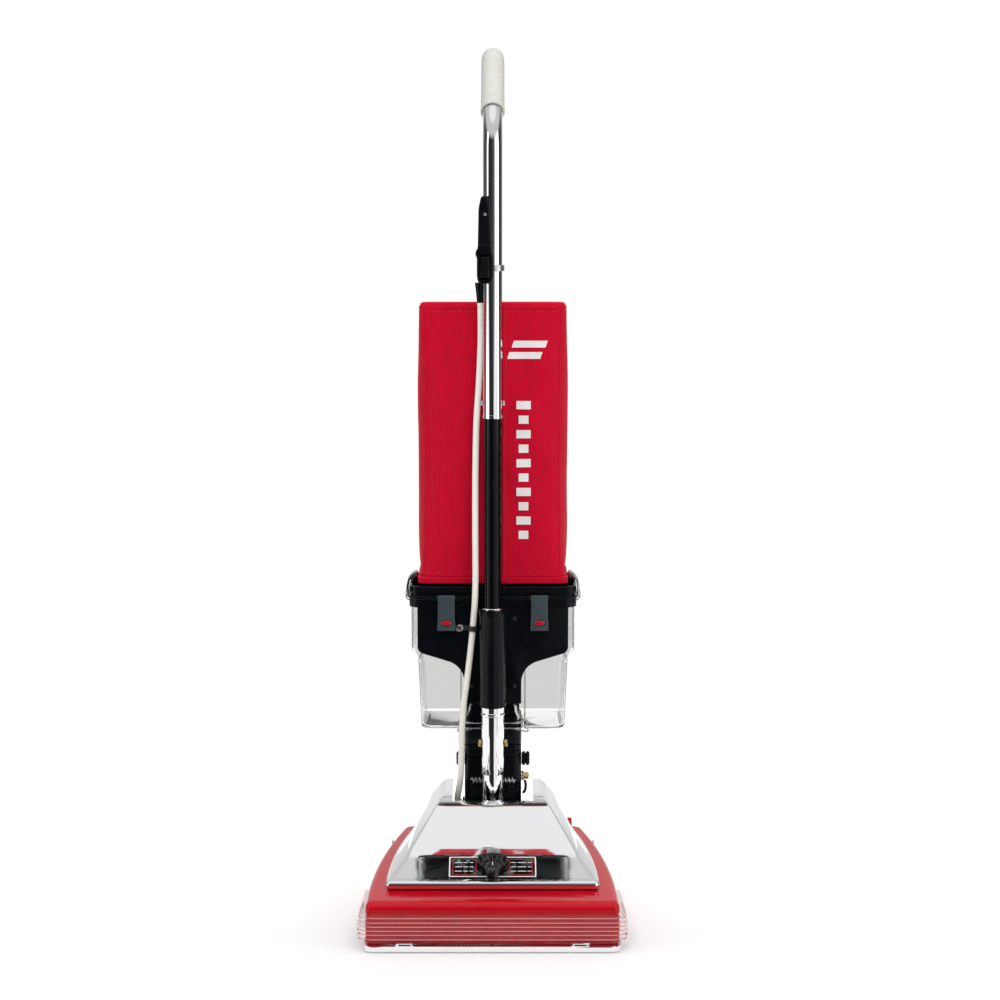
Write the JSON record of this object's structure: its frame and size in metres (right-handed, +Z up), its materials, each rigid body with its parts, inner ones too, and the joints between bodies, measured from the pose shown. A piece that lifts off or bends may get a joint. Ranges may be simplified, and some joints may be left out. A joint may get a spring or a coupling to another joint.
{
  "type": "upright vacuum cleaner",
  "caption": "Commercial upright vacuum cleaner: chrome hood, red nozzle base with ribbed guard, reclining tube handle, clear dust cup, woven bag and switch.",
  "frame": {"origin": "on the floor, under the middle of the whole cleaner's box with the handle upright", "axes": "+Z up along the upright handle tube, front of the nozzle towards -Y, +X to the right seen from the front"},
  "size_m": [0.3464, 0.3611, 1.1529],
  "materials": {
    "red_shell": "gloss",
    "chrome": "polished",
    "guard_vinyl": "gloss",
    "steel": "satin",
    "brass": "satin",
    "black_plastic": "satin",
    "black_gloss": "gloss",
    "black_tube": "gloss",
    "slate_plastic": "matte",
    "clear_plastic": "gloss",
    "cream_grip": "satin",
    "lead_jacket": "satin",
    "red_cloth": "matte",
    "black_rubber": "matte",
    "roll_metal": "satin",
    "motor_iron": "satin",
    "black_steel": "satin"
  },
  "bodies": {
    "base": {"base_housing": "red_shell", "furniture_guard": "guard_vinyl", "bottom_plate": "chrome", "motor_hood": "chrome", "hood_gasket": "black_rubber", "label_plate": "black_gloss", "fan_housing": "black_plastic", "motor_stator": "motor_iron", "motor_end_bell": "black_plastic", "brush_carrier": "brass", "bearing_block_left": "black_plastic", "bearing_block_right": "black_plastic", "drive_belt": "black_rubber", "trunnion_bracket": "black_steel", "pivot_pin": "steel", "rear_axle": "steel", "pedal_pin": "steel", "side_screw_left": "steel", "side_screw_right": "steel"},
    "handle": {"handle_bail": "chrome", "handle_socket": "chrome", "socket_bolt": "brass", "lower_tube": "black_tube", "upper_tube": "chrome", "tube_bolt": "steel", "handle_grip": "cream_grip", "switch_housing": "black_plastic", "power_lead": "lead_jacket", "lead_clip": "black_rubber", "clip_screw": "steel", "cup_frame": "black_plastic", "filter_screen": "slate_plastic", "side_clip_left": "steel", "side_clip_right": "steel", "duct_elbow": "black_plastic", "duct_clamp": "steel", "thumb_screw_left": "black_plastic", "thumb_screw_right": "black_plastic", "terminal_bolt": "brass", "lead_grommet": "black_rubber", "handle_spring": "steel", "dust_bag": "red_cloth", "bag_hanger": "steel"},
    "rotor": {"motor_shaft": "steel", "armature": "motor_iron", "fan_impeller": "roll_metal"},
    "height_knob": {"height_knob": "black_gloss"},
    "front_carriage": {"front_carriage": "steel"},
    "front_wheel_left": {"front_wheel_left": "black_rubber"},
    "front_wheel_right": {"front_wheel_right": "black_rubber"},
    "rear_wheel_left": {"rear_wheel_left": "black_rubber"},
    "rear_wheel_right": {"rear_wheel_right": "black_rubber"},
    "brush_roll": {"brush_roll": "roll_metal"},
    "release_pedal": {"release_pedal": "red_shell"},
    "plate_latch_left": {"plate_latch_left": "black_plastic"},
    "plate_latch_right": {"plate_latch_right": "black_plastic"},
    "switch_rocker": {"switch_rocker": "black_gloss"},
    "latch_left": {"latch_left": "slate_plastic"},
    "latch_right": {"latch_right": "slate_plastic"},
    "dust_cup": {"dust_cup": "clear_plastic"}
  },
  "joints": [
    {"name": "handle_recline", "type": "hinge", "parent": "base", "child": "handle", "pos_m": [0, 0.08095, 0.092], "axis": [-1, 0, 0], "range_deg": [0, 70]},
    {"name": "motor_spin", "type": "hinge", "parent": "base", "child": "rotor", "pos_m": [0, -0.00105, 0.06], "axis": [0, 0, 1], "continuous": true},
    {"name": "brush_spin", "type": "hinge", "parent": "base", "child": "brush_roll", "pos_m": [0, -0.13105, 0.026], "axis": [1, 0, 0], "continuous": true},
    {"name": "height_turn", "type": "hinge", "parent": "base", "child": "height_knob", "pos_m": [0, -0.10555, 0.08566], "axis": [0, -0.1395, 0.9902], "range_deg": [0, 150]},
    {"name": "carriage_tilt", "type": "hinge", "parent": "base", "child": "front_carriage", "pos_m": [0, -0.06905, 0.052], "axis": [-1, 0, 0], "range_deg": [0, 12]},
    {"name": "front_wheel_left_spin", "type": "hinge", "parent": "front_carriage", "child": "front_wheel_left", "pos_m": [-0.09, -0.04105, 0.019], "axis": [1, 0, 0], "continuous": true},
    {"name": "rear_wheel_left_spin", "type": "hinge", "parent": "base", "child": "rear_wheel_left", "pos_m": [-0.082, 0.10095, 0.032], "axis": [1, 0, 0], "continuous": true},
    {"name": "plate_latch_left_turn", "type": "hinge", "parent": "base", "child": "plate_latch_left", "pos_m": [-0.118, -0.08105, 0.004], "axis": [0, 0, 1], "range_deg": [0, 90]},
    {"name": "latch_left_open", "type": "hinge", "parent": "handle", "child": "latch_left", "pos_m": [-0.0625, 0.04135, 0.4206], "axis": [-1, 0, 0], "range_deg": [0, 75]},
    {"name": "front_wheel_right_spin", "type": "hinge", "parent": "front_carriage", "child": "front_wheel_right", "pos_m": [0.09, -0.04105, 0.019], "axis": [1, 0, 0], "continuous": true},
    {"name": "rear_wheel_right_spin", "type": "hinge", "parent": "base", "child": "rear_wheel_right", "pos_m": [0.082, 0.10095, 0.032], "axis": [1, 0, 0], "continuous": true},
    {"name": "plate_latch_right_turn", "type": "hinge", "parent": "base", "child": "plate_latch_right", "pos_m": [0.118, -0.08105, 0.004], "axis": [0, 0, 1], "range_deg": [0, 90]},
    {"name": "latch_right_open", "type": "hinge", "parent": "handle", "child": "latch_right", "pos_m": [0.0625, 0.04135, 0.4206], "axis": [-1, 0, 0], "range_deg": [0, 75]},
    {"name": "cup_removal", "type": "slide", "parent": "handle", "child": "dust_cup", "axis": [0, 1, 0], "range_m": [0, 0.13]},
    {"name": "switch_press", "type": "hinge", "parent": "handle", "child": "switch_rocker", "pos_m": [-0.01, 0.01295, 0.864], "axis": [1, 0, 0], "range_deg": [0, 12]},
    {"name": "pedal_press", "type": "hinge", "parent": "base", "child": "release_pedal", "pos_m": [0.1035, 0.11895, 0.06], "axis": [-1, 0, 0], "range_deg": [0, 10], "stiffness_Nm_per_rad": 0.3, "springref_deg": -20.05}
  ],
  "couplings": [
    {"joint": "brush_spin", "follows": "motor_spin", "ratio": 0.6795},
    {"joint": "carriage_tilt", "follows": "height_turn", "ratio": 0.08}
  ]
}
